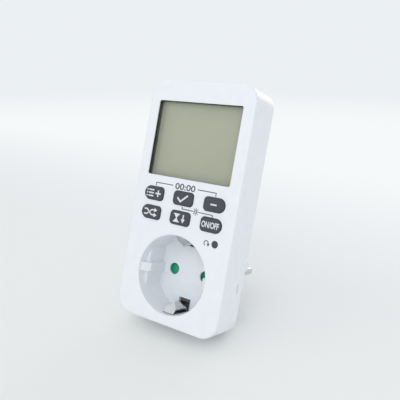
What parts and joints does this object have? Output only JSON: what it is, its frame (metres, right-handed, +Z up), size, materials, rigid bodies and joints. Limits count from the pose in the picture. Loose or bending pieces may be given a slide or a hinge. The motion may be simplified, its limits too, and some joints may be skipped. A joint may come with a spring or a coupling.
{
  "type": "plug in timer switch",
  "caption": "Upright white plug-through timer: display and rubber keys above a round earthed socket well, with a round two-pin plug on the back.",
  "frame": {"origin": "centre of the socket well's mouth on the flat front face", "axes": "+X to the right seen from the front, +Y from the front face towards the wall socket, +Z up"},
  "size_m": [0.06, 0.0709, 0.121],
  "materials": {
    "white_housing": "satin white ABS",
    "clear_window": "clear glossy plastic window",
    "lcd_glass": "grey-green reflective display",
    "key_rubber": "matt dark grey silicone",
    "mat_rubber": "translucent silicone",
    "zebra_rubber": "conductive striped rubber",
    "shutter_green": "green plastic",
    "inner_plastic": "natural plastic",
    "board_green": "green board",
    "black_plastic": "black moulded plastic",
    "resistor_tan": "tan lacquer",
    "film_yellow": "yellow box capacitor",
    "relay_blue": "blue relay plastic",
    "winding": "enamelled copper winding",
    "iron": "soft iron",
    "sheet_brass": "brass strip",
    "nickel": "nickel plated",
    "steel": "zinc plated steel",
    "aluminium_can": "sleeved aluminium can"
  },
  "bodies": {
    "housing": {"front_cover": "white_housing", "rear_cover": "white_housing", "lcd_window": "clear_window", "lcd_panel": "lcd_glass", "keypad_mat": "mat_rubber", "reset_pad": "mat_rubber", "zebra_strips": "zebra_rubber", "lcd_frame": "inner_plastic", "contact_carrier": "inner_plastic", "display_board": "board_green", "power_board": "board_green", "microcontroller": "black_plastic", "link_strip": "black_plastic", "regulator": "black_plastic", "diodes": "black_plastic", "resistors": "resistor_tan", "film_capacitor": "film_yellow", "relay_case": "relay_blue", "relay_base": "relay_blue", "relay_coil": "winding", "relay_yoke": "iron", "live_contact": "sheet_brass", "neutral_contact": "sheet_brass", "live_strap": "sheet_brass", "relay_fixed_contact": "sheet_brass", "plug_pin_live": "nickel", "plug_pin_neutral": "nickel", "earth_strap": "nickel", "cover_screws": "steel", "board_screws": "steel", "crystal": "steel", "backup_battery": "steel", "battery_tabs": "steel", "link_pins": "steel", "smoothing_capacitors": "aluminium_can"},
    "key_program": {"key_program": "key_rubber"},
    "key_set": {"key_set": "key_rubber"},
    "key_minus": {"key_minus": "key_rubber"},
    "key_random": {"key_random": "key_rubber"},
    "key_countdown": {"key_countdown": "key_rubber"},
    "key_manual": {"key_manual": "key_rubber"},
    "reset_key": {"reset_key": "key_rubber"},
    "shutter": {"shutter": "shutter_green", "shutter_spring": "steel"},
    "relay_armature": {"relay_armature": "iron"}
  },
  "joints": [
    {"name": "program_press", "type": "slide", "parent": "housing", "child": "key_program", "axis": [0, 1, 0], "range_m": [0, 0.0008], "stiffness_N_per_m": 500, "springref_m": -0.0006},
    {"name": "set_press", "type": "slide", "parent": "housing", "child": "key_set", "axis": [0, 1, 0], "range_m": [0, 0.0008], "stiffness_N_per_m": 500, "springref_m": -0.0006},
    {"name": "minus_press", "type": "slide", "parent": "housing", "child": "key_minus", "axis": [0, 1, 0], "range_m": [0, 0.0008], "stiffness_N_per_m": 500, "springref_m": -0.0006},
    {"name": "random_press", "type": "slide", "parent": "housing", "child": "key_random", "axis": [0, 1, 0], "range_m": [0, 0.0008], "stiffness_N_per_m": 500, "springref_m": -0.0006},
    {"name": "countdown_press", "type": "slide", "parent": "housing", "child": "key_countdown", "axis": [0, 1, 0], "range_m": [0, 0.0008], "stiffness_N_per_m": 500, "springref_m": -0.0006},
    {"name": "manual_press", "type": "slide", "parent": "housing", "child": "key_manual", "axis": [0, 1, 0], "range_m": [0, 0.0008], "stiffness_N_per_m": 500, "springref_m": -0.0006},
    {"name": "reset_press", "type": "slide", "parent": "housing", "child": "reset_key", "axis": [0, 1, 0], "range_m": [0, 0.0005], "stiffness_N_per_m": 500, "springref_m": -0.0006},
    {"name": "shutter_turn", "type": "hinge", "parent": "housing", "child": "shutter", "pos_m": [0, 0.0209, 0], "axis": [0, 1, 0], "range_deg": [0, 42], "stiffness_Nm_per_rad": 0.004, "springref_deg": -22.92},
    {"name": "relay_pull", "type": "hinge", "parent": "housing", "child": "relay_armature", "pos_m": [0.0134, 0.0256, 0.062], "axis": [1, 0, 0], "range_deg": [0, 4], "stiffness_Nm_per_rad": 0.01, "springref_deg": -11.46}
  ]
}
